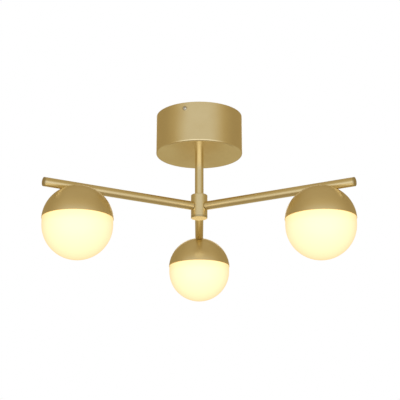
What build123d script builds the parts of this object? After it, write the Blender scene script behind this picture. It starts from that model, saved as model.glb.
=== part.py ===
from build123d import *
from math import asin, cos, degrees, radians, sin, sqrt
import os

# A ceiling light: a deep round canopy, a short rod, a hub and three level arms, each with a
# half-metal, half-opal globe. The ceiling is the plane z = 0 and the light hangs below it.
# All sizes are in millimetres.

# Canopy
canopy_r = 63.5
canopy_height = 59.5
canopy_wall = 1.2
canopy_edge_r = 2.5

# Rod, arms and hub
tube_r = 6.35
tube_wall = 1.3
arm_drop = 139.0
arm_reach = 242.0
arm_angles = [90.0, 210.0, 330.0]
hub_r = 12.0
hub_height = 35.0
hub_chamber_r = 8.6
hub_base_thickness = 3.0
hub_edge = 0.5
plug_flange = 1.5
plug_length = 8.0
plug_edge = 0.3

# Globes
globe_reach = 190.5
cap_r = 49.0
cap_wall = 1.2
cap_centre_drop = 47.8
cap_cut_rise = 2.8
diffuser_step = 0.7
diffuser_wall = 2.4
diffuser_collar = 7.8
neck_slip = 0.6
neck_wall = 2.0
neck_height = 8.0

# Light carriers inside the globes
plate_rise = 20.0
plate_thickness = 3.0
board_edge_gap = 1.0
board_hole_r = 10.0
board_thickness = 1.6
board_screw_inset = 2.0
board_screw_angles = [0.0, 120.0, 240.0]
led_count = 12
led_start = 15.0
led_ring_r = 21.0
led_size = 3.0
led_height = 0.8
connector_size = 8.0
connector_reach = 11.0
connector_height = 8.6
connector_lead_rise = 2.6
connector_bend = 3.8
clip_width = 8.0
clip_metal = 0.6
clip_foot = 7.0
clip_drop = 13.0
clip_bend = 2.5
clip_lip = 1.5
clip_lip_height = 3.0
clip_angles = [60.0, 180.0, 300.0]

# Threaded tubes and their nuts
nipple_r = 5.0
nipple_bore_r = 3.5
nipple_grip = 12.0
small_nipple_r = 4.0
small_nipple_bore_r = 2.5
nipple_end = 1.6
nut_r = 8.0
nut_height = 4.0
washer_r = 11.0
washer_thickness = 1.5
lock_washer_thickness = 1.2
lock_washer_split = 1.2
small_nipple_end = 1.0
small_nut_r = 7.0
small_nut_height = 3.2

# Mounting plate under the ceiling
bracket_r = 58.0
bracket_thickness = 1.5
bracket_hole_r = 10.0
slot_spacing = 70.0
slot_length = 20.0
slot_width = 5.0
tab_angle = 71.0
tab_width = 16.0
tab_drop = 16.0
tab_gap = 0.6
side_screw_drop = 9.0
side_screw_r = 2.0
side_screw_length = 8.0
side_head_r = 3.4
side_head_height = 2.4
side_head_edge = 2.0

# Driver and terminals in the canopy
driver_length = 76.0
driver_width = 32.0
driver_height = 24.0
driver_offset = 14.0
driver_wall = 1.6
driver_ear = 8.0
driver_ear_width = 8.0
driver_ear_thickness = 2.0
driver_lip = 1.6
driver_post_r = 2.5
driver_post_height = 5.0
driver_post_inset = 6.0
driver_board_thickness = 1.6
driver_board_gap = 1.6
transformer_size = (20.0, 17.0, 12.0)
capacitor_r = 5.0
capacitor_height = 10.0
capacitor_gap = 5.0
terminal_length = 32.0
terminal_width = 16.0
terminal_height = 14.0
terminal_offset = 16.0
terminal_poles = 3
terminal_pitch = 10.5
terminal_rows = 8.0
terminal_screw_r = 1.5
terminal_head_height = 1.0
terminal_shank_r = 1.0
terminal_screw_recess = 2.5
terminal_screw_depth = 6.0
joiner_size = (16.0, 12.0, 14.0)
joiner_edge_r = 1.5
joiner_drop = 22.0
lead_r = 1.3
lead_bend = 5.5
lead_gap = 0.3
supply_lead_inset = 6.0
supply_bend = 8.0
driver_lead_drop = 10.0
earth_place = (26.0, -42.0)
earth_pole_x = 4.0
lug_r = 4.5
lug_thickness = 1.2
lug_overlap = 1.0
lug_barrel_r = 1.8
lug_barrel_sink = 0.3
lug_barrel_length = 7.0

# Small screws and the cross recess that all the screws share
small_screw_r = 1.6
small_head_r = 3.0
small_head_height = 1.8
screw_edge = 0.3
recess_share = 0.6
recess_width = 0.7

# Clearances between pieces
thread_fit = 0.05
slip_fit = 0.15
cap_fit = 0.15
neck_gap = 0.3
side_hole_fit = 0.4
overcut = 1.0

# Places that follow from the sizes
tube_bore_r = nipple_r + thread_fit
arm_z = -arm_drop
hub_top = arm_z + hub_height / 2
hub_bottom = hub_top - hub_height
canopy_floor = -canopy_height
cap_centre_z = arm_z - cap_centre_drop
cap_rim_z = cap_centre_z + cap_cut_rise
cap_inner_r = cap_r - cap_wall
plate_bottom = cap_centre_z + plate_rise
plate_top = plate_bottom + plate_thickness
plate_r = sqrt(cap_inner_r**2 - (plate_rise + plate_thickness) ** 2) - slip_fit
board_bottom = plate_bottom - board_thickness
diffuser_r = cap_r - diffuser_step
diffuser_top = cap_rim_z - neck_gap
diffuser_centre_z = diffuser_top - diffuser_collar
neck_top = diffuser_top + neck_height
neck_r = sqrt(cap_inner_r**2 - (neck_top - cap_centre_z) ** 2) - neck_slip
clip_reach = neck_r - neck_wall - clip_foot - small_head_r
board_r = clip_reach - small_head_r - board_edge_gap
board_screw_reach = board_r - small_head_r - board_screw_inset
connector_lead_z = board_bottom - connector_height + connector_lead_rise
lead_offset = nipple_bore_r - lead_r - lead_gap
joiner_bottom = -joiner_drop - joiner_size[2]
tab_outer = sqrt((canopy_r - canopy_wall) ** 2 - (tab_width / 2) ** 2) - tab_gap
driver_middle = driver_offset + driver_width / 2
driver_lid_thickness = driver_wall
driver_bottom = -bracket_thickness - driver_height
driver_lead_z = -bracket_thickness - driver_lead_drop
terminal_middle = -terminal_offset - terminal_width / 2
lug_end = earth_place[0] - lug_r + lug_overlap
earth_lead_z = -bracket_thickness - lug_thickness - lug_barrel_r + lug_barrel_sink


def direction(angle):
    """Level unit vector at an angle from +X."""
    return Vector(cos(radians(angle)), sin(radians(angle)), 0)


def across(angle, reach, height):
    """Plane square to the level line at an angle, at a reach from the rod's axis."""
    origin = direction(angle) * reach + Vector(0, 0, height)
    return Plane(origin=origin, x_dir=direction(angle + 90), z_dir=direction(angle))


def level(angle, reach, height):
    """Level plane at a reach from the rod's axis, with its X pointing outward."""
    origin = direction(angle) * reach + Vector(0, 0, height)
    return Plane(origin=origin, x_dir=direction(angle), z_dir=(0, 0, 1))


def upright(angle, reach, height):
    """Upright plane along the line at an angle, with its X pointing outward and its Y up."""
    origin = direction(angle) * reach + Vector(0, 0, height)
    return Plane(origin=origin, x_dir=direction(angle), z_dir=direction(angle - 90))


def ring_places(reach, angles):
    """Places on a circle at those angles."""
    return [direction(angle) * reach for angle in angles]


def make_screw(head_r, head_height, shank_r, shank_length, dome_edge=0.0):
    """Screw with a cross recess, head upward, with the head's seat at z = 0."""
    with BuildPart() as screw:
        Cylinder(head_r, head_height, align=(Align.CENTER, Align.CENTER, Align.MIN))
        head_rim = screw.edges().group_by(Axis.Z)[-1]
        if dome_edge > 0:
            fillet(head_rim, dome_edge)
        else:
            chamfer(head_rim, screw_edge)
        Cylinder(shank_r, shank_length, align=(Align.CENTER, Align.CENTER, Align.MAX))
        recess_length = 2 * head_r * recess_share
        with Locations((0, 0, head_height)):
            Box(recess_length, recess_width, head_height, mode=Mode.SUBTRACT)
            Box(recess_width, recess_length, head_height, mode=Mode.SUBTRACT)
    return screw.part


def make_lead(points, bends):
    """Round lead along straight runs that are joined by arcs."""
    with BuildPart() as lead:
        with BuildLine():
            route = FilletPolyline(*points, radius=bends)
        with BuildSketch(Plane(origin=route @ 0, z_dir=route % 0)):
            Circle(lead_r)
        sweep(path=route)
    return lead.part


side_screw_shape = make_screw(
    side_head_r, side_head_height, side_screw_r, side_screw_length, side_head_edge
)
driver_screw_shape = make_screw(
    small_head_r, small_head_height, small_screw_r, driver_ear_thickness + bracket_thickness
)
earth_screw_shape = make_screw(
    small_head_r, small_head_height, small_screw_r, lug_thickness + bracket_thickness
)
board_screw_shape = make_screw(
    small_head_r, small_head_height, small_screw_r, board_thickness + plate_thickness
)
clip_screw_shape = make_screw(
    small_head_r, small_head_height, small_screw_r, clip_metal + plate_thickness
)
terminal_screw_shape = make_screw(
    terminal_screw_r,
    terminal_head_height,
    terminal_shank_r,
    terminal_screw_depth - terminal_screw_recess - terminal_head_height,
)

# Mounting plate: stamped disc with two slots for the ceiling screws and two bent tabs
with BuildPart() as mounting_plate:
    with BuildSketch(Plane.XY.offset(-bracket_thickness)):
        Circle(bracket_r)
        with PolarLocations(tab_outer / 2, 2, start_angle=tab_angle):
            Rectangle(tab_outer, tab_width)
        Circle(bracket_hole_r, mode=Mode.SUBTRACT)
        with GridLocations(slot_spacing, 0, 2, 1):
            SlotOverall(slot_length, slot_width, mode=Mode.SUBTRACT)
        with GridLocations(driver_length + driver_ear, 0, 2, 1):
            with Locations((0, driver_middle)):
                Circle(small_screw_r + thread_fit, mode=Mode.SUBTRACT)
        with Locations(earth_place):
            Circle(small_screw_r + thread_fit, mode=Mode.SUBTRACT)
    extrude(amount=bracket_thickness)
    for angle in (tab_angle, tab_angle + 180):
        with BuildSketch(across(angle, tab_outer, -tab_drop / 2)):
            Rectangle(tab_width, tab_drop)
        extrude(amount=-bracket_thickness)
        with BuildSketch(across(angle, tab_outer, -side_screw_drop)):
            Circle(side_screw_r + thread_fit)
        extrude(amount=-2 * bracket_thickness, mode=Mode.SUBTRACT)
mounting_plate.part.label = "mounting_plate"
export_step(mounting_plate.part, "parts/mounting_plate.step")

# Canopy: deep drawn cup with its mouth at the ceiling, two side holes and a hole for the rod
with BuildPart() as canopy:
    with BuildSketch(Plane.XY.offset(canopy_floor)):
        Circle(canopy_r)
    extrude(amount=canopy_height)
    fillet(canopy.edges().group_by(Axis.Z)[0], canopy_edge_r)
    offset(amount=-canopy_wall, openings=canopy.faces().sort_by(Axis.Z)[-1])
    with BuildSketch(Plane.XY.offset(canopy_floor)):
        Circle(nipple_r + slip_fit)
    extrude(amount=canopy_wall, mode=Mode.SUBTRACT)
    for angle in (tab_angle, tab_angle + 180):
        with BuildSketch(across(angle, canopy_r + overcut, -side_screw_drop)):
            Circle(side_screw_r + side_hole_fit)
        extrude(amount=-(canopy_r - tab_outer + overcut), mode=Mode.SUBTRACT)
canopy.part.label = "canopy"
export_step(canopy.part, "parts/canopy.step")

# Two side screws, which hold the canopy on the tabs
for number, angle in enumerate((tab_angle + 180, tab_angle), start=1):
    with BuildPart() as canopy_screw:
        with Locations(across(angle, canopy_r, -side_screw_drop)):
            add(side_screw_shape)
    canopy_screw.part.label = f"canopy_screw_{number}"
    export_step(canopy_screw.part, f"parts/canopy_screw_{number}.step")

# Driver case: open box that hangs under the plate by two ears
with BuildPart() as driver_case:
    with BuildSketch(Plane.XY.offset(driver_bottom + driver_lid_thickness)):
        with Locations((0, driver_middle)):
            Rectangle(driver_length, driver_width)
    extrude(amount=driver_height - driver_lid_thickness)
    fillet(driver_case.edges().filter_by(Axis.Z), driver_wall)
    with BuildSketch(Plane.XY.offset(-bracket_thickness)):
        with Locations((0, driver_middle)):
            Rectangle(driver_length + 2 * driver_ear, driver_ear_width)
            with GridLocations(driver_length + driver_ear, 0, 2, 1):
                Circle(small_screw_r + slip_fit, mode=Mode.SUBTRACT)
    extrude(amount=-driver_ear_thickness)
    with BuildSketch(Plane.XY.offset(driver_bottom)):
        with Locations((0, driver_middle)):
            Rectangle(driver_length - 2 * driver_wall, driver_width - 2 * driver_wall)
    extrude(amount=driver_height - driver_wall, mode=Mode.SUBTRACT)
    with BuildSketch(Plane.XY.offset(-bracket_thickness - driver_wall)):
        with Locations((0, driver_middle)):
            with GridLocations(
                driver_length - 2 * driver_post_inset,
                driver_width - 2 * driver_post_inset,
                2,
                2,
            ):
                Circle(driver_post_r)
    extrude(amount=-driver_post_height)
driver_case.part.label = "driver_case"
export_step(driver_case.part, "parts/driver_case.step")

# Driver lid: closes the case from below with a lip inside its walls
with BuildPart() as driver_lid:
    with BuildSketch(Plane.XY.offset(driver_bottom)):
        with Locations((0, driver_middle)):
            RectangleRounded(driver_length, driver_width, driver_wall)
    extrude(amount=driver_lid_thickness)
    with BuildSketch(Plane.XY.offset(driver_bottom + driver_lid_thickness)):
        with Locations((0, driver_middle)):
            Rectangle(
                driver_length - 2 * driver_wall - 2 * slip_fit,
                driver_width - 2 * driver_wall - 2 * slip_fit,
            )
            Rectangle(
                driver_length - 2 * driver_wall - 2 * slip_fit - 2 * driver_lip,
                driver_width - 2 * driver_wall - 2 * slip_fit - 2 * driver_lip,
                mode=Mode.SUBTRACT,
            )
    extrude(amount=driver_lip)
driver_lid.part.label = "driver_lid"
export_step(driver_lid.part, "parts/driver_lid.step")

# Driver board: circuit board on the posts, with a transformer and two capacitors under it
driver_board_top = -bracket_thickness - driver_wall - driver_post_height
with BuildPart() as driver_board:
    with BuildSketch(Plane.XY.offset(driver_board_top)):
        with Locations((0, driver_middle)):
            Rectangle(
                driver_length - 2 * driver_wall - 2 * driver_board_gap,
                driver_width - 2 * driver_wall - 2 * driver_board_gap,
            )
    extrude(amount=-driver_board_thickness)
    with BuildSketch(Plane.XY.offset(driver_board_top - driver_board_thickness)):
        with Locations((0, driver_middle)):
            Rectangle(transformer_size[0], transformer_size[1])
    extrude(amount=-transformer_size[2])
    with BuildSketch(Plane.XY.offset(driver_board_top - driver_board_thickness)):
        with Locations((0, driver_middle)):
            capacitor_span = transformer_size[0] + 2 * (capacitor_r + capacitor_gap)
            with GridLocations(capacitor_span, 0, 2, 1):
                Circle(capacitor_r)
    extrude(amount=-capacitor_height)
driver_board.part.label = "driver_board"
export_step(driver_board.part, "parts/driver_board.step")

# Two screws that hold the driver's ears to the plate
with BuildPart() as driver_screws:
    for side in (-1, 1):
        seat = Plane(
            origin=(
                side * (driver_length + driver_ear) / 2,
                driver_middle,
                -bracket_thickness - driver_ear_thickness,
            ),
            z_dir=(0, 0, -1),
        )
        with Locations(seat):
            add(driver_screw_shape)
driver_screws.part.label = "driver_screws"
export_step(driver_screws.part, "parts/driver_screws.step")

# Terminal block for the house wiring, under the plate
terminal_bottom = -bracket_thickness - terminal_height
with BuildPart() as terminal_block:
    with BuildSketch(Plane.XY.offset(terminal_bottom)):
        with Locations((0, terminal_middle)):
            Rectangle(terminal_length, terminal_width)
    extrude(amount=terminal_height)
    with BuildSketch(Plane.XY.offset(terminal_bottom)):
        with Locations((0, terminal_middle)):
            with GridLocations(terminal_pitch, terminal_rows, terminal_poles, 2):
                Circle(terminal_screw_r + slip_fit)
    extrude(amount=terminal_screw_depth, mode=Mode.SUBTRACT)
terminal_block.part.label = "terminal_block"
export_step(terminal_block.part, "parts/terminal_block.step")

# Six clamp screws in the terminal block
terminal_seat_z = terminal_bottom + terminal_screw_recess + terminal_head_height
with BuildPart() as terminal_screws:
    with Locations(Plane(origin=(0, terminal_middle, terminal_seat_z), z_dir=(0, 0, -1))):
        with GridLocations(terminal_pitch, terminal_rows, terminal_poles, 2):
            add(terminal_screw_shape)
terminal_screws.part.label = "terminal_screws"
export_step(terminal_screws.part, "parts/terminal_screws.step")

# Earth lug and its screw
with BuildPart() as earth_lug:
    with BuildSketch(Plane.XY.offset(-bracket_thickness)):
        with Locations(earth_place):
            Circle(lug_r)
            Circle(small_screw_r + slip_fit, mode=Mode.SUBTRACT)
    extrude(amount=-lug_thickness)
    with BuildSketch(Plane(origin=(lug_end, earth_place[1], earth_lead_z), z_dir=(-1, 0, 0))):
        Circle(lug_barrel_r)
    extrude(amount=lug_barrel_length)
earth_lug.part.label = "earth_lug"
export_step(earth_lug.part, "parts/earth_lug.step")

with BuildPart() as earth_screw:
    with Locations(
        Plane(
            origin=(earth_place[0], earth_place[1], -bracket_thickness - lug_thickness),
            z_dir=(0, 0, -1),
        )
    ):
        add(earth_screw_shape)
earth_screw.part.label = "earth_screw"
export_step(earth_screw.part, "parts/earth_screw.step")

# Leads in the canopy: house wiring to the driver, earth, and the driver's output to the joiner
terminal_end = terminal_length / 2
terminal_back = terminal_middle - terminal_width / 2
supply_x = driver_length / 2 - supply_lead_inset
supply_lead_points = [
    (terminal_end, terminal_middle, driver_lead_z),
    (supply_x, terminal_middle, driver_lead_z),
    (supply_x, driver_offset, driver_lead_z),
]
with BuildPart() as supply_lead:
    add(make_lead(supply_lead_points, [supply_bend]))
supply_lead.part.label = "supply_lead"
export_step(supply_lead.part, "parts/supply_lead.step")

earth_lead_points = [
    (earth_pole_x, terminal_back, earth_lead_z),
    (earth_pole_x, earth_place[1], earth_lead_z),
    (lug_end - lug_barrel_length, earth_place[1], earth_lead_z),
]
with BuildPart() as earth_lead:
    add(make_lead(earth_lead_points, [lead_bend]))
earth_lead.part.label = "earth_lead"
export_step(earth_lead.part, "parts/earth_lead.step")

output_lead_points = [
    (0, 0, -joiner_drop),
    (0, 0, driver_lead_z),
    (0, driver_offset, driver_lead_z),
]
with BuildPart() as output_lead:
    add(make_lead(output_lead_points, [lead_bend]))
output_lead.part.label = "output_lead"
export_step(output_lead.part, "parts/output_lead.step")

# Lead joiner: block in which the driver's output meets the three lamp leads
with BuildPart() as lead_joiner:
    with BuildSketch(Plane.XY.offset(joiner_bottom)):
        RectangleRounded(joiner_size[0], joiner_size[1], joiner_edge_r)
    extrude(amount=joiner_size[2])
lead_joiner.part.label = "lead_joiner"
export_step(lead_joiner.part, "parts/lead_joiner.step")

# Rod: plain tube between the canopy and the hub
with BuildPart() as rod:
    with BuildSketch(Plane.XY.offset(hub_top)):
        Circle(tube_r)
        Circle(tube_bore_r, mode=Mode.SUBTRACT)
    extrude(amount=canopy_floor - hub_top)
rod.part.label = "rod"
export_step(rod.part, "parts/rod.step")

# Threaded tube, washers and nut that hold the rod to the canopy's floor
floor_top = canopy_floor + canopy_wall
lock_washer_z = floor_top + washer_thickness
canopy_nut_z = lock_washer_z + lock_washer_thickness
nipple_top = canopy_nut_z + nut_height + nipple_end
with BuildPart() as rod_nipple_upper:
    with BuildSketch(Plane.XY.offset(canopy_floor - nipple_grip)):
        Circle(nipple_r)
        Circle(nipple_bore_r, mode=Mode.SUBTRACT)
    extrude(amount=nipple_top - canopy_floor + nipple_grip)
rod_nipple_upper.part.label = "rod_nipple_upper"
export_step(rod_nipple_upper.part, "parts/rod_nipple_upper.step")

with BuildPart() as canopy_washer:
    with BuildSketch(Plane.XY.offset(floor_top)):
        Circle(washer_r)
        Circle(nipple_r + slip_fit, mode=Mode.SUBTRACT)
    extrude(amount=washer_thickness)
canopy_washer.part.label = "canopy_washer"
export_step(canopy_washer.part, "parts/canopy_washer.step")

with BuildPart() as lock_washer:
    with BuildSketch(Plane.XY.offset(lock_washer_z)):
        Circle(nut_r)
        Circle(nipple_r + slip_fit, mode=Mode.SUBTRACT)
        with Locations((nut_r, 0)):
            Rectangle(nut_r, lock_washer_split, mode=Mode.SUBTRACT)
    extrude(amount=lock_washer_thickness)
lock_washer.part.label = "lock_washer"
export_step(lock_washer.part, "parts/lock_washer.step")

with BuildPart() as canopy_nut:
    with BuildSketch(Plane.XY.offset(canopy_nut_z)):
        RegularPolygon(nut_r, 6)
        Circle(nipple_r + thread_fit, mode=Mode.SUBTRACT)
    extrude(amount=nut_height)
canopy_nut.part.label = "canopy_nut"
export_step(canopy_nut.part, "parts/canopy_nut.step")

# Threaded tube between the rod and the hub
rod_nipple_seat = hub_top - nipple_grip
with BuildPart() as rod_nipple_lower:
    with BuildSketch(Plane.XY.offset(rod_nipple_seat + slip_fit)):
        Circle(nipple_r)
        Circle(nipple_bore_r, mode=Mode.SUBTRACT)
    extrude(amount=2 * nipple_grip - slip_fit)
rod_nipple_lower.part.label = "rod_nipple_lower"
export_step(rod_nipple_lower.part, "parts/rod_nipple_lower.step")

# Hub: turned barrel with a wire chamber, a hole on top for the rod and one for each arm
base_seat = hub_bottom + hub_base_thickness
with BuildPart() as hub:
    with BuildSketch(Plane.XY.offset(base_seat)):
        Circle(hub_r)
    extrude(amount=hub_top - base_seat)
    chamfer(hub.edges().group_by(Axis.Z)[-1], hub_edge)
    with BuildSketch(Plane.XY.offset(base_seat)):
        Circle(hub_chamber_r)
    extrude(amount=rod_nipple_seat - base_seat, mode=Mode.SUBTRACT)
    with BuildSketch(Plane.XY.offset(rod_nipple_seat)):
        Circle(tube_bore_r)
    extrude(amount=nipple_grip, mode=Mode.SUBTRACT)
    for angle in arm_angles:
        with BuildSketch(across(angle, hub_r, arm_z)):
            Circle(tube_bore_r)
        extrude(amount=-hub_r, mode=Mode.SUBTRACT)
hub.part.label = "hub"
export_step(hub.part, "parts/hub.step")

# Hub base: turned plug that closes the wire chamber from below
with BuildPart() as hub_base:
    with BuildSketch(Plane.XY.offset(hub_bottom)):
        Circle(hub_r)
    extrude(amount=hub_base_thickness)
    chamfer(hub_base.edges().group_by(Axis.Z)[0], hub_edge)
    with BuildSketch(Plane.XY.offset(base_seat)):
        Circle(hub_chamber_r - thread_fit)
    extrude(amount=hub_base_thickness)
hub_base.part.label = "hub_base"
export_step(hub_base.part, "parts/hub_base.step")

# Three arms: level tubes with a hole underneath for each globe's threaded tube
arm_start = hub_r + thread_fit
arm_end = arm_reach - plug_flange
for number, angle in enumerate(arm_angles, start=1):
    with BuildPart() as arm:
        with BuildSketch(across(angle, arm_start, arm_z)):
            Circle(tube_r)
            Circle(tube_bore_r, mode=Mode.SUBTRACT)
        extrude(amount=arm_end - arm_start)
        with BuildSketch(level(angle, globe_reach, arm_z - tube_r - overcut)):
            Circle(small_nipple_r + thread_fit)
        extrude(amount=tube_r, mode=Mode.SUBTRACT)
    arm.part.label = f"arm_{number}"
    export_step(arm.part, f"parts/arm_{number}.step")

# Three threaded tubes that screw the arms into the hub
with BuildPart() as arm_nipples:
    for angle in arm_angles:
        with BuildSketch(across(angle, hub_chamber_r + slip_fit, arm_z)):
            Circle(nipple_r)
            Circle(nipple_bore_r, mode=Mode.SUBTRACT)
        extrude(amount=hub_r - hub_chamber_r + nipple_grip)
arm_nipples.part.label = "arm_nipples"
export_step(arm_nipples.part, "parts/arm_nipples.step")

# Three turned plugs that close the arms' outer ends
with BuildPart() as arm_end_plugs:
    for angle in arm_angles:
        with BuildSketch(across(angle, arm_end, arm_z)):
            Circle(tube_r)
        extrude(amount=plug_flange)
        with BuildSketch(across(angle, arm_end, arm_z)):
            Circle(tube_bore_r - thread_fit)
        extrude(amount=-plug_length)
    outer_rims = [
        arm_end_plugs.edges().filter_by(GeomType.CIRCLE).sort_by_distance(
            direction(angle) * (arm_reach + tube_r) + Vector(0, 0, arm_z)
        )[0]
        for angle in arm_angles
    ]
    chamfer(outer_rims, plug_edge)
arm_end_plugs.part.label = "arm_end_plugs"
export_step(arm_end_plugs.part, "parts/arm_end_plugs.step")

# Three globe caps: spun metal domes, notched on top where the arm lies in them
cut_angle = degrees(asin(cap_cut_rise / cap_r))
inner_cut_angle = degrees(asin(cap_cut_rise / cap_inner_r))
for number, angle in enumerate(arm_angles, start=1):
    centre = direction(angle) * globe_reach + Vector(0, 0, cap_centre_z)
    with BuildPart() as cap:
        with BuildSketch(upright(angle, globe_reach, cap_centre_z)):
            with BuildLine():
                outer_arc = CenterArc((0, 0), cap_r, cut_angle, 90 - cut_angle)
                inner_arc = CenterArc((0, 0), cap_inner_r, inner_cut_angle, 90 - inner_cut_angle)
                Line(outer_arc @ 0, inner_arc @ 0)
                Line(outer_arc @ 1, inner_arc @ 1)
            make_face()
        revolve(axis=Axis(centre, (0, 0, 1)))
        with BuildSketch(across(angle, globe_reach - cap_r, arm_z)):
            Circle(tube_r + cap_fit)
        extrude(amount=2 * cap_r, mode=Mode.SUBTRACT)
    cap.part.label = f"cap_{number}"
    export_step(cap.part, f"parts/cap_{number}.step")

# Three small threaded tubes that hang the light carriers under the arms
small_nipple_top = arm_z - tube_r + tube_wall + small_nipple_end
small_nipple_bottom = plate_bottom - small_nut_height
with BuildPart() as globe_nipples:
    for angle in arm_angles:
        with BuildSketch(level(angle, globe_reach, small_nipple_bottom)):
            Circle(small_nipple_r)
            Circle(small_nipple_bore_r, mode=Mode.SUBTRACT)
        extrude(amount=small_nipple_top - small_nipple_bottom)
globe_nipples.part.label = "globe_nipples"
export_step(globe_nipples.part, "parts/globe_nipples.step")

# Three nuts under the carrier plates
with BuildPart() as globe_nuts:
    for angle in arm_angles:
        with BuildSketch(level(angle, globe_reach, small_nipple_bottom)):
            RegularPolygon(small_nut_r, 6)
            Circle(small_nipple_r + thread_fit, mode=Mode.SUBTRACT)
        extrude(amount=small_nut_height)
globe_nuts.part.label = "globe_nuts"
export_step(globe_nuts.part, "parts/globe_nuts.step")

# Carrier plates: aluminium discs that seat inside the domes and carry the light boards
for number, angle in enumerate(arm_angles, start=1):
    with BuildPart() as carrier_plate:
        with BuildSketch(level(angle, globe_reach, plate_bottom)):
            Circle(plate_r)
            Circle(small_nipple_r + slip_fit, mode=Mode.SUBTRACT)
            with Locations(*ring_places(board_screw_reach, board_screw_angles)):
                Circle(small_screw_r + thread_fit, mode=Mode.SUBTRACT)
            with Locations(*ring_places(clip_reach, clip_angles)):
                Circle(small_screw_r + thread_fit, mode=Mode.SUBTRACT)
        extrude(amount=plate_thickness)
    carrier_plate.part.label = f"carrier_plate_{number}"
    export_step(carrier_plate.part, f"parts/carrier_plate_{number}.step")

# Light boards: rings with a circle of light-emitting chips
for number, angle in enumerate(arm_angles, start=1):
    with BuildPart() as light_board:
        with BuildSketch(level(angle, globe_reach, board_bottom)):
            Circle(board_r)
            Circle(board_hole_r, mode=Mode.SUBTRACT)
            with Locations(*ring_places(board_screw_reach, board_screw_angles)):
                Circle(small_screw_r + slip_fit, mode=Mode.SUBTRACT)
        extrude(amount=board_thickness)
        with BuildSketch(level(angle, globe_reach, board_bottom)):
            with PolarLocations(led_ring_r, led_count, start_angle=led_start):
                Rectangle(led_size, led_size)
        extrude(amount=-led_height)
    light_board.part.label = f"light_board_{number}"
    export_step(light_board.part, f"parts/light_board_{number}.step")

# Screws that hold the light boards and the clips to the carrier plates
head_down = Location((0, 0, 0), (180, 0, 0))
with BuildPart() as board_screws:
    for angle in arm_angles:
        with Locations(level(angle, globe_reach, board_bottom)):
            with Locations(*ring_places(board_screw_reach, board_screw_angles)):
                with Locations(head_down):
                    add(board_screw_shape)
board_screws.part.label = "board_screws"
export_step(board_screws.part, "parts/board_screws.step")

with BuildPart() as clip_screws:
    for angle in arm_angles:
        with Locations(level(angle, globe_reach, plate_bottom - clip_metal)):
            with Locations(*ring_places(clip_reach, clip_angles)):
                with Locations(head_down):
                    add(clip_screw_shape)
clip_screws.part.label = "clip_screws"
export_step(clip_screws.part, "parts/clip_screws.step")

# Connector blocks on the light boards, where the lamp leads end
for number, angle in enumerate(arm_angles, start=1):
    with BuildPart() as board_connector:
        middle = globe_reach - connector_reach - connector_size / 2
        with BuildSketch(level(angle, middle, board_bottom)):
            Rectangle(connector_size, connector_size)
        extrude(amount=-connector_height)
    board_connector.part.label = f"board_connector_{number}"
    export_step(board_connector.part, f"parts/board_connector_{number}.step")

# Spring clips: bent strips that press outward on the diffuser's neck
clip_outer = neck_r - neck_wall - slip_fit
for number, angle in enumerate(arm_angles, start=1):
    with BuildPart() as neck_clips:
        for turn in clip_angles:
            hinge = level(angle, globe_reach, plate_bottom)
            profile = Plane(
                origin=hinge.origin,
                x_dir=direction(angle + turn),
                z_dir=direction(angle + turn - 90),
            )
            with BuildSketch(profile):
                with BuildLine():
                    Polyline(
                        (clip_reach - clip_foot / 2, 0),
                        (clip_outer - clip_bend, 0),
                        (clip_outer, clip_lip_height - clip_drop),
                        (clip_outer - clip_lip, -clip_drop),
                        (clip_outer - clip_lip - clip_metal, -clip_drop),
                        (clip_outer - clip_metal, clip_lip_height - clip_drop),
                        (clip_outer - clip_bend - clip_metal, -clip_metal),
                        (clip_reach - clip_foot / 2, -clip_metal),
                        close=True,
                    )
                make_face()
            extrude(amount=clip_width / 2, both=True)
            with BuildSketch(Plane(origin=hinge.origin, x_dir=direction(angle + turn))):
                with Locations((clip_reach, 0)):
                    Circle(small_screw_r + slip_fit)
            extrude(amount=-2 * clip_metal, mode=Mode.SUBTRACT)
    neck_clips.part.label = f"neck_clips_{number}"
    export_step(neck_clips.part, f"parts/neck_clips_{number}.step")

# Diffusers: blown opal bowls with a straight collar and a narrower neck inside the cap
for number, angle in enumerate(arm_angles, start=1):
    centre = direction(angle) * globe_reach + Vector(0, 0, diffuser_centre_z)
    inner_r = diffuser_r - diffuser_wall
    with BuildPart() as diffuser:
        with BuildSketch(upright(angle, globe_reach, diffuser_centre_z)):
            with BuildLine():
                bowl_top = diffuser_top - diffuser_centre_z
                neck_end = neck_top - diffuser_centre_z
                CenterArc((0, 0), diffuser_r, -90, 90)
                Polyline(
                    (diffuser_r, 0),
                    (diffuser_r, bowl_top),
                    (neck_r, bowl_top),
                    (neck_r, neck_end),
                    (neck_r - neck_wall, neck_end),
                    (neck_r - neck_wall, bowl_top - neck_wall),
                    (inner_r, bowl_top - 2 * neck_wall),
                    (inner_r, 0),
                )
                CenterArc((0, 0), inner_r, -90, 90)
                Line((0, -diffuser_r), (0, -inner_r))
            make_face()
        revolve(axis=Axis(centre, (0, 0, 1)))
    diffuser.part.label = f"diffuser_{number}"
    export_step(diffuser.part, f"parts/diffuser_{number}.step")

# Lamp leads: from each board's connector up into the arm, along it and up the rod to the joiner
for number, angle in enumerate(arm_angles, start=1):
    out = direction(angle)
    lead_points = [
        out * (globe_reach - connector_reach) + Vector(0, 0, connector_lead_z),
        out * globe_reach + Vector(0, 0, connector_lead_z),
        out * globe_reach + Vector(0, 0, arm_z),
        out * lead_offset + Vector(0, 0, arm_z),
        out * lead_offset + Vector(0, 0, joiner_bottom),
    ]
    with BuildPart() as lamp_lead:
        add(make_lead(lead_points, [connector_bend, lead_bend, lead_bend]))
    lamp_lead.part.label = f"lamp_lead_{number}"
    export_step(lamp_lead.part, f"parts/lamp_lead_{number}.step")
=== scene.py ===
from math import atan2, radians

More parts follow.
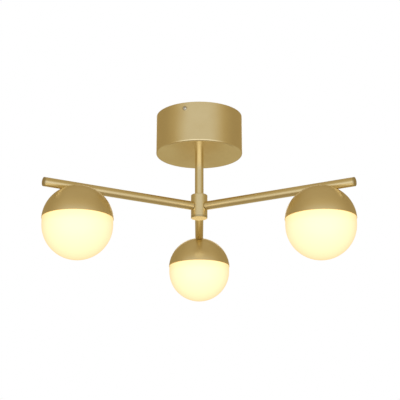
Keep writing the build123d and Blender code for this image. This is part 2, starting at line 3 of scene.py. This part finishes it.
import bpy
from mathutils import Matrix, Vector


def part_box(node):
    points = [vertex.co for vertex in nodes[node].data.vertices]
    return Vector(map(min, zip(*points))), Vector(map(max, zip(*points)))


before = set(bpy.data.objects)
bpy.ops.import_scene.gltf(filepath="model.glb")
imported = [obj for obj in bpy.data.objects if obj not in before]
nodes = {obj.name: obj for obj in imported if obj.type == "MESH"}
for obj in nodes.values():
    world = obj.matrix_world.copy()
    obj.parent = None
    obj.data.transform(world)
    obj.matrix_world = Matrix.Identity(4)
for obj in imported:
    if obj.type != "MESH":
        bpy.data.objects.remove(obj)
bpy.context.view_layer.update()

# The photograph's camera: its distance in front of the rod, its drop below the ceiling, its upward
# tilt, its slight turn to the right and its focal length in pixels of the 400 pixel wide picture
CAMERA_DISTANCE = 1.4507
CAMERA_DROP = 0.5652
CAMERA_TILT = 16.75
CAMERA_TURN = 0.045
FOCAL_PIXELS = 1037.65
PICTURE_PIXELS = 400
SENSOR_MM = 36.0

# Pale floor at the foot of a room of normal height
ROOM_HEIGHT = 2.5
FLOOR_SIZE = 4.0
FLOOR_ROUGHNESS = 0.7

# Light round the object: the room's sides, its part behind the camera, its low far part, its top,
# a pale wall behind the camera and a bright window low on that wall
ROOM_SIDE = (0.40, 0.305, 0.148, 1.0)
ROOM_FRONT = (0.56, 0.44, 0.22, 1.0)
ROOM_BELOW = (0.51, 0.43, 0.25, 1.0)
ROOM_TOP = (0.47, 0.37, 0.20, 1.0)
WALL = (0.69, 0.65, 0.54, 1.0)
WINDOW = (1.18, 1.15, 1.06, 1.0)

# Where those parts begin and end, as components of a direction from the object
FRONT_SPAN = (0.3, -0.9)
BELOW_SPAN = (0.05, -0.2)
FAR_SPAN = (0.0, 0.5)
TOP_SPAN = (0.7, 0.95)

# Wall and window: half widths in degrees and heights, each with the span over which it fades
WALL_SIDES = (20, 75)
WALL_LEVELS = (-0.85, -0.5, 0.28, 0.62)
WINDOW_SIDES = (30, 72)
WINDOW_LEVELS = (-0.92, -0.7, -0.06, 0.16)

# Soft light high behind the object, aimed at its middle
BACK_LIGHT_PLACE = (0, 2.6, 1.1)
BACK_LIGHT_TARGET = (0, 0, -0.12)
BACK_LIGHT_WIDTH = 1.6
BACK_LIGHT_HEIGHT = 1.0
BACK_LIGHT_POWER = 4.0

# Satin gold: its two tones, its roughness and that of the rougher domes, and the share of its
# brightness that the hub's base and the arms' plugs keep, as painted shade: darker gold copies for
# dimmer reflections
GOLD = (0.86, 0.76, 0.52, 1.0)
GOLD_DEEP = (0.83, 0.72, 0.475, 1.0)
GOLD_EDGE_TINT = (0.98, 0.93, 0.82, 1.0)
PLAIN_SATIN = 0.23
DOME_SATIN = 0.34
BASE_PAINTED_SHADE = 0.78
PLUG_PAINTED_SHADE = 0.72
LACQUER_WEIGHT = 0.1
LACQUER_ROUGHNESS = 0.42

# Marks in the gold, in cycles per metre: fine lines, their change along a drawn tube, the grain
# over them and the soft clouds under them. Round a spun piece the lines change per radian.
LINE_SCALE = 2600.0
LINE_STRETCH_DRAWN = 25.0
LINE_STRETCH_SPUN = 4.0
GRAIN_SCALE = 1500.0
CLOUD_SCALE = 28.0
LINE_BUMP = 0.05
LINE_DEPTH = 0.00002
SATIN_DRIFT = 0.02

# Noise: how rough it is, and the parts of its range that colours and roughness follow
NOISE_ROUGHNESS = 0.55
COLOUR_SPAN = (0.35, 0.65)
ROUGHNESS_SPAN = (0.3, 0.7)

# Plated metal and moulded plastic: how dark their darker tone is, how far their roughness drifts,
# and the strength and depth of their grain
PLATED_SHADE = 0.82
PLATED_DRIFT = 0.07
PLATED_GRAIN_FACTOR = 6
PLATED_BUMP = 0.15
PLATED_DEPTH = 0.00003
MOULDED_SHADE = 0.93
MOULDED_DRIFT = 0.05
MOULDED_CLOUD_SCALE = 60.0
MOULDED_GRAIN_SCALE = 2200.0
MOULDED_BUMP = 0.2
MOULDED_DEPTH = 0.00004

# Earth lead: how closely its yellow stripe repeats and where the wave turns from green to yellow
STRIPE_SCALE = 120.0
STRIPE_SPAN = (0.6, 0.66)
SHEATH_ROUGHNESS = 0.45

# Opal glass lit from inside: the colours of its glow in the bowl, at its pole and round its neck,
# the heights from the node's middle between which they change, and its warm edge
GLASS_BODY = (0.30, 0.27, 0.22, 1.0)
GLASS_ROUGHNESS = 0.3
GLOW = (1.0, 0.89, 0.585, 1.0)
GLOW_POLE = (1.0, 0.865, 0.53, 1.0)
GLOW_NECK = (1.0, 0.87, 0.47, 1.0)
GLOW_STRENGTH = 1.42
POLE_SPAN = (-0.046, 0.002)
NECK_SPAN = (0.012, 0.024)
EDGE_WEIGHT = 0.9
EDGE_ROUGHNESS = 1.0
EDGE_TINT = (0.95, 0.6, 0.25, 1.0)


def node_middle(name):
    """Middle of a node's box at rest."""
    low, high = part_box(name)
    return (Vector(low) + Vector(high)) / 2


GLOBE_MIDDLES = [node_middle(f"diffuser_{n}") for n in (1, 2, 3)]
ARM_ANGLES = [atan2(middle.y, middle.x) for middle in GLOBE_MIDDLES]


def linear(red, green, blue):
    """Linear colour from display values of 0 to 255."""
    return tuple((v / 255) ** 2.2 for v in (red, green, blue)) + (1.0,)


def toned(colour, tone):
    """Opaque colour multiplied by a tone."""
    return tuple(v * tone for v in colour[:3]) + (1.0,)


def new_material(name, colour, metallic, roughness):
    """Material with one Principled shader; returns it, its node tree and the shader."""
    material = bpy.data.materials.new(name)
    material.use_nodes = True
    tree = material.node_tree
    shader = tree.nodes["Principled BSDF"]
    shader.inputs["Base Color"].default_value = colour
    shader.inputs["Metallic"].default_value = metallic
    shader.inputs["Roughness"].default_value = roughness
    return material, tree, shader


def split_axes(tree, vector):
    """Node that parts a vector into X, Y and Z."""
    split = tree.nodes.new("ShaderNodeSeparateXYZ")
    tree.links.new(vector, split.inputs["Vector"])
    return split


def local_coordinates(tree, centre=(0, 0, 0), angle=0.0):
    """Object coordinates moved to a centre and turned so that X points along an angle."""
    place = tree.nodes.new("ShaderNodeTexCoord")
    mapping = tree.nodes.new("ShaderNodeMapping")
    mapping.vector_type = "TEXTURE"
    mapping.inputs["Location"].default_value = centre
    mapping.inputs["Rotation"].default_value = (0, 0, angle)
    tree.links.new(place.outputs["Object"], mapping.inputs["Vector"])
    return mapping.outputs["Vector"]


def stretched(tree, vector, factors):
    """Vector multiplied by three factors."""
    stretch = tree.nodes.new("ShaderNodeVectorMath")
    stretch.operation = "MULTIPLY"
    stretch.inputs[1].default_value = factors
    tree.links.new(vector, stretch.inputs[0])
    return stretch.outputs["Vector"]


def spun_vector(tree, vector):
    """Coordinates for marks that run round the Z axis: reach from it, angle and height."""
    split = split_axes(tree, vector)
    flat = tree.nodes.new("ShaderNodeCombineXYZ")
    tree.links.new(split.outputs["X"], flat.inputs["X"])
    tree.links.new(split.outputs["Y"], flat.inputs["Y"])
    reach = tree.nodes.new("ShaderNodeVectorMath")
    reach.operation = "LENGTH"
    tree.links.new(flat.outputs["Vector"], reach.inputs[0])
    joined = tree.nodes.new("ShaderNodeCombineXYZ")
    tree.links.new(reach.outputs["Value"], joined.inputs["X"])
    tree.links.new(turn_angle(tree, split.outputs["Y"], split.outputs["X"]), joined.inputs["Y"])
    tree.links.new(split.outputs["Z"], joined.inputs["Z"])
    return stretched(tree, joined.outputs["Vector"], (LINE_SCALE, LINE_STRETCH_SPUN, LINE_SCALE))


def drawn_vector(tree, vector):
    """Coordinates for marks that run along X."""
    return stretched(tree, vector, (LINE_STRETCH_DRAWN, LINE_SCALE, LINE_SCALE))


def noise(tree, vector, scale, detail=3.0):
    """Value of a noise texture."""
    node = tree.nodes.new("ShaderNodeTexNoise")
    node.inputs["Scale"].default_value = scale
    node.inputs["Detail"].default_value = detail
    node.inputs["Roughness"].default_value = NOISE_ROUGHNESS
    tree.links.new(vector, node.inputs["Vector"])
    return node.outputs["Fac"]


def ramp_between(tree, value, span, first, second, kind="LINEAR"):
    """Map of a value from a span, low to high, to first..second."""
    node = tree.nodes.new("ShaderNodeMapRange")
    node.interpolation_type = kind
    sockets = ("From Min", "From Max", "To Min", "To Max")
    for socket, number in zip(sockets, (*span, first, second)):
        node.inputs[socket].default_value = number
    tree.links.new(value, node.inputs["Value"])
    return node.outputs["Result"]


def fade(tree, value, span):
    """Soft rise from 0 to 1 over a span."""
    return ramp_between(tree, value, span, 0.0, 1.0, "SMOOTHSTEP")


def math_node(tree, operation, first, second=None):
    """Result of a math node; its second input is a value, a number or left out."""
    node = tree.nodes.new("ShaderNodeMath")
    node.operation = operation
    tree.links.new(first, node.inputs[0])
    if isinstance(second, float):
        node.inputs[1].default_value = second
    elif second is not None:
        tree.links.new(second, node.inputs[1])
    return node.outputs["Value"]


def turn_angle(tree, first, second):
    """Angle whose tangent is first over second."""
    return math_node(tree, "ARCTAN2", first, second)


def mix_colours(tree, value, first, second):
    """Colour between two, each a colour or a socket, by a value of 0 to 1."""
    node = tree.nodes.new("ShaderNodeMix")
    node.data_type = "RGBA"
    for place, colour in ((6, first), (7, second)):
        if isinstance(colour, tuple):
            node.inputs[place].default_value = colour
        else:
            tree.links.new(colour, node.inputs[place])
    tree.links.new(value, node.inputs[0])
    return node.outputs[2]


def mottled_colour(tree, shader, value, first, second):
    """Base colour that drifts between two colours with a noise value."""
    share = ramp_between(tree, value, COLOUR_SPAN, 0.0, 1.0)
    tree.links.new(mix_colours(tree, share, first, second), shader.inputs["Base Color"])


def varied(tree, value, middle, spread):
    """Number that drifts about a middle with a noise value, by a spread either way."""
    return ramp_between(tree, value, ROUGHNESS_SPAN, middle - spread, middle + spread)


def bump(tree, shader, height, strength, distance):
    """Bump from a height value, in metres."""
    node = tree.nodes.new("ShaderNodeBump")
    node.inputs["Strength"].default_value = strength
    node.inputs["Distance"].default_value = distance
    tree.links.new(height, node.inputs["Height"])
    tree.links.new(node.outputs["Normal"], shader.inputs["Normal"])


def satin_gold(name, centre=(0, 0, 0), angle=0.0, drawn=False, tone=1.0, satin=PLAIN_SATIN):
    """Satin gold plate: fine lines round a spun piece or along a drawn tube, over a soft grain. A
    tone below one darkens the whole plate as painted shade.
    """
    pale = toned(GOLD, tone)
    material, tree, shader = new_material(name, pale, 1.0, satin)
    place = local_coordinates(tree, centre, angle)
    line_vector = drawn_vector(tree, place) if drawn else spun_vector(tree, place)
    lines = noise(tree, line_vector, 1.0, 2.0)
    grain = noise(tree, place, GRAIN_SCALE, 2.0)
    cloud = noise(tree, place, CLOUD_SCALE)
    mottled_colour(tree, shader, cloud, pale, toned(GOLD_DEEP, tone))
    line_satin = varied(tree, lines, satin, SATIN_DRIFT)
    cloud_satin = varied(tree, cloud, 0.0, SATIN_DRIFT)
    tree.links.new(math_node(tree, "ADD", line_satin, cloud_satin), shader.inputs["Roughness"])
    bump(tree, shader, math_node(tree, "ADD", lines, grain), LINE_BUMP, LINE_DEPTH)
    shader.inputs["Specular Tint"].default_value = GOLD_EDGE_TINT
    shader.inputs["Coat Weight"].default_value = LACQUER_WEIGHT
    shader.inputs["Coat Roughness"].default_value = LACQUER_ROUGHNESS
    return material


def plated(name, colour, roughness, scale):
    """Plated or milled metal with a fine mottled grain."""
    material, tree, shader = new_material(name, colour, 1.0, roughness)
    place = local_coordinates(tree)
    mottle = noise(tree, place, scale)
    mottled_colour(tree, shader, mottle, colour, toned(colour, PLATED_SHADE))
    tree.links.new(varied(tree, mottle, roughness, PLATED_DRIFT), shader.inputs["Roughness"])
    grain = noise(tree, place, scale * PLATED_GRAIN_FACTOR, 2.0)
    bump(tree, shader, grain, PLATED_BUMP, PLATED_DEPTH)
    return material


def moulded(name, colour, roughness):
    """Moulded plastic, solder mask or sheath with a fine grain."""
    material, tree, shader = new_material(name, colour, 0.0, roughness)
    place = local_coordinates(tree)
    shade = noise(tree, place, MOULDED_CLOUD_SCALE, 2.0)
    mottled_colour(tree, shader, shade, colour, toned(colour, MOULDED_SHADE))
    tree.links.new(varied(tree, shade, roughness, MOULDED_DRIFT), shader.inputs["Roughness"])
    grain = noise(tree, place, MOULDED_GRAIN_SCALE, 2.0)
    bump(tree, shader, grain, MOULDED_BUMP, MOULDED_DEPTH)
    return material


def striped_sheath():
    """Green sheath with a yellow stripe, for the earth lead."""
    green = linear(38, 120, 48)
    yellow = linear(236, 208, 40)
    material, tree, shader = new_material("earth_sheath", green, 0.0, SHEATH_ROUGHNESS)
    wave = tree.nodes.new("ShaderNodeTexWave")
    wave.wave_type = "BANDS"
    wave.bands_direction = "DIAGONAL"
    wave.inputs["Scale"].default_value = STRIPE_SCALE
    tree.links.new(local_coordinates(tree), wave.inputs["Vector"])
    stripe = ramp_between(tree, wave.outputs["Fac"], STRIPE_SPAN, 0.0, 1.0)
    tree.links.new(mix_colours(tree, stripe, green, yellow), shader.inputs["Base Color"])
    return material


def opal_glass(centre):
    """Opal glass lit from inside, with a satin surface: warmer towards its neck and its pole."""
    material, tree, shader = new_material("opal_glass", GLASS_BODY, 0.0, GLASS_ROUGHNESS)
    height = split_axes(tree, local_coordinates(tree, centre)).outputs["Z"]
    low = ramp_between(tree, height, POLE_SPAN, 1.0, 0.0)
    high = ramp_between(tree, height, NECK_SPAN, 0.0, 1.0)
    bowl = mix_colours(tree, low, GLOW, GLOW_POLE)
    tree.links.new(mix_colours(tree, high, bowl, GLOW_NECK), shader.inputs["Emission Color"])
    shader.inputs["Emission Strength"].default_value = GLOW_STRENGTH
    shader.inputs["Sheen Weight"].default_value = EDGE_WEIGHT
    shader.inputs["Sheen Roughness"].default_value = EDGE_ROUGHNESS
    shader.inputs["Sheen Tint"].default_value = EDGE_TINT
    return material


def give(names, material):
    """That material on every slot of these nodes."""
    for name in names:
        for slot in nodes[name].material_slots:
            slot.material = material


def dress_gold():
    """Gold on what shows, and opal glass on the bowls."""
    give(["canopy", "rod", "hub"], satin_gold("satin_gold_spun"))
    # Hub's base: a darker copy of the gold, painted shade for its dimmer reflection
    give(["hub_base"], satin_gold("satin_gold_base_painted_shade", tone=BASE_PAINTED_SHADE))
    for number, (middle, angle) in enumerate(zip(GLOBE_MIDDLES, ARM_ANGLES), start=1):
        tube = satin_gold(f"satin_gold_tube_{number}", angle=angle, drawn=True)
        dome = satin_gold(f"satin_gold_dome_{number}", centre=middle, satin=DOME_SATIN)
        give([f"arm_{number}"], tube)
        give([f"cap_{number}"], dome)
        give([f"diffuser_{number}"], opal_glass(middle))
    # Arms' plugs: a darker copy of the gold, painted shade for their dimmer reflection
    give(["arm_end_plugs"], satin_gold("satin_gold_plug_painted_shade", tone=PLUG_PAINTED_SHADE))


def dress_fixings():
    """Zinc, nickel and spring steel on the fixings and on the plates."""
    zinc = plated("zinc_plate", linear(186, 188, 190), 0.38, 90.0)
    nickel = plated("bright_nickel", linear(214, 212, 208), 0.22, 200.0)
    spring = plated("spring_steel", linear(150, 152, 156), 0.3, 150.0)
    milled = plated("milled_aluminium", linear(212, 214, 216), 0.42, 120.0)
    give(["mounting_plate", "rod_nipple_upper", "rod_nipple_lower"], zinc)
    give(["arm_nipples", "globe_nipples", "globe_nuts", "earth_lug"], zinc)
    give(["canopy_washer", "lock_washer", "canopy_nut"], zinc)
    give(["canopy_screw_1", "canopy_screw_2", "driver_screws", "earth_screw"], nickel)
    give(["board_screws", "clip_screws", "terminal_screws"], nickel)
    give([f"neck_clips_{number}" for number in (1, 2, 3)], spring)
    give([f"carrier_plate_{number}" for number in (1, 2, 3)], milled)


def dress_electrics():
    """Plastic, solder mask and sheaths on the driver, the boards and the leads."""
    white_plastic = moulded("white_plastic", linear(232, 231, 226), 0.42)
    sheath = moulded("lead_sheath", linear(226, 223, 214), 0.5)
    give(["driver_case", "driver_lid", "terminal_block", "lead_joiner"], white_plastic)
    give(["supply_lead", "output_lead"], sheath)
    give(["driver_board"], moulded("green_mask", linear(36, 96, 58), 0.35))
    give(["earth_lead"], striped_sheath())
    for number in (1, 2, 3):
        mask = moulded(f"white_mask_{number}", linear(240, 240, 234), 0.35)
        give([f"light_board_{number}"], mask)
        give([f"board_connector_{number}"], white_plastic)
        give([f"lamp_lead_{number}"], sheath)


def smooth_nodes():
    """Smooth shading on every CAD node."""
    for node in nodes.values():
        for face in node.data.polygons:
            face.use_smooth = True


def make_floor():
    """Plain pale floor at the foot of the room."""
    bpy.ops.mesh.primitive_plane_add(size=FLOOR_SIZE, location=(0, 0, -ROOM_HEIGHT))
    floor = bpy.context.object
    floor.name = "floor"
    material = new_material("pale_floor", linear(225, 223, 220), 0.0, FLOOR_ROUGHNESS)[0]
    floor.data.materials.append(material)


def add_back_light():
    """Soft light high behind the object, which the camera doesn't see."""
    light = bpy.data.lights.new("back_softbox", "AREA")
    light.shape = "RECTANGLE"
    light.size = BACK_LIGHT_WIDTH
    light.size_y = BACK_LIGHT_HEIGHT
    light.energy = BACK_LIGHT_POWER
    lamp = bpy.data.objects.new("back_softbox", light)
    bpy.context.collection.objects.link(lamp)
    lamp.location = BACK_LIGHT_PLACE
    aim = Vector(BACK_LIGHT_TARGET) - Vector(BACK_LIGHT_PLACE)
    lamp.rotation_euler = aim.to_track_quat("-Z", "Y").to_euler()
    lamp.visible_camera = False


def soft_patch(tree, turn, height, sides, levels):
    """Mask of a soft-edged patch of sky: its half width in degrees and its four levels in height."""
    inner, outer = sides
    start, low, high, end = levels
    wide = ramp_between(tree, turn, (radians(inner), radians(outer)), 1.0, 0.0, "SMOOTHSTEP")
    over = fade(tree, height, (start, low))
    under = ramp_between(tree, height, (high, end), 1.0, 0.0, "SMOOTHSTEP")
    return math_node(tree, "MULTIPLY", math_node(tree, "MULTIPLY", wide, under), over)


def room_colour(tree):
    """Colour of the room round the object, by direction."""
    place = tree.nodes.new("ShaderNodeTexCoord")
    split = split_axes(tree, place.outputs["Generated"])
    depth = split.outputs["Y"]
    height = split.outputs["Z"]
    behind = math_node(tree, "MULTIPLY", depth, -1.0)
    turn = math_node(tree, "ABSOLUTE", turn_angle(tree, split.outputs["X"], behind))
    room = mix_colours(tree, fade(tree, depth, FRONT_SPAN), ROOM_SIDE, ROOM_FRONT)
    low_far = math_node(tree, "MULTIPLY", fade(tree, height, BELOW_SPAN), fade(tree, depth, FAR_SPAN))
    room = mix_colours(tree, low_far, room, ROOM_BELOW)
    room = mix_colours(tree, fade(tree, height, TOP_SPAN), room, ROOM_TOP)
    wall = soft_patch(tree, turn, height, WALL_SIDES, WALL_LEVELS)
    window = soft_patch(tree, turn, height, WINDOW_SIDES, WINDOW_LEVELS)
    return mix_colours(tree, window, mix_colours(tree, wall, room, WALL), WINDOW)


def make_world():
    """White studio: plain white behind the object, a soft warm room round it for light and gloss."""
    world = bpy.data.worlds.new("studio")
    bpy.context.scene.world = world
    world.use_nodes = True
    tree = world.node_tree
    tree.nodes.clear()
    output = tree.nodes.new("ShaderNodeOutputWorld")
    seen = tree.nodes.new("ShaderNodeBackground")
    seen.inputs["Color"].default_value = (1.0, 1.0, 1.0, 1.0)
    around = tree.nodes.new("ShaderNodeBackground")
    tree.links.new(room_colour(tree), around.inputs["Color"])
    path = tree.nodes.new("ShaderNodeLightPath")
    mix = tree.nodes.new("ShaderNodeMixShader")
    tree.links.new(path.outputs["Is Camera Ray"], mix.inputs["Fac"])
    tree.links.new(around.outputs["Background"], mix.inputs[1])
    tree.links.new(seen.outputs["Background"], mix.inputs[2])
    tree.links.new(mix.outputs["Shader"], output.inputs["Surface"])


def make_camera():
    """Camera at the photograph's place, level with the horizon apart from its upward tilt."""
    data = bpy.data.cameras.new("camera")
    data.sensor_width = SENSOR_MM
    data.lens = FOCAL_PIXELS / PICTURE_PIXELS * SENSOR_MM
    camera = bpy.data.objects.new("camera", data)
    bpy.context.collection.objects.link(camera)
    camera.location = (0, -CAMERA_DISTANCE, -CAMERA_DROP)
    camera.rotation_euler = (radians(90 + CAMERA_TILT), 0, radians(-CAMERA_TURN))
    bpy.context.scene.camera = camera


dress_gold()
dress_fixings()
dress_electrics()
smooth_nodes()
make_floor()
make_world()
make_camera()
add_back_light()
scene = bpy.context.scene
scene.view_settings.view_transform = "Standard"
scene.view_settings.look = "None"
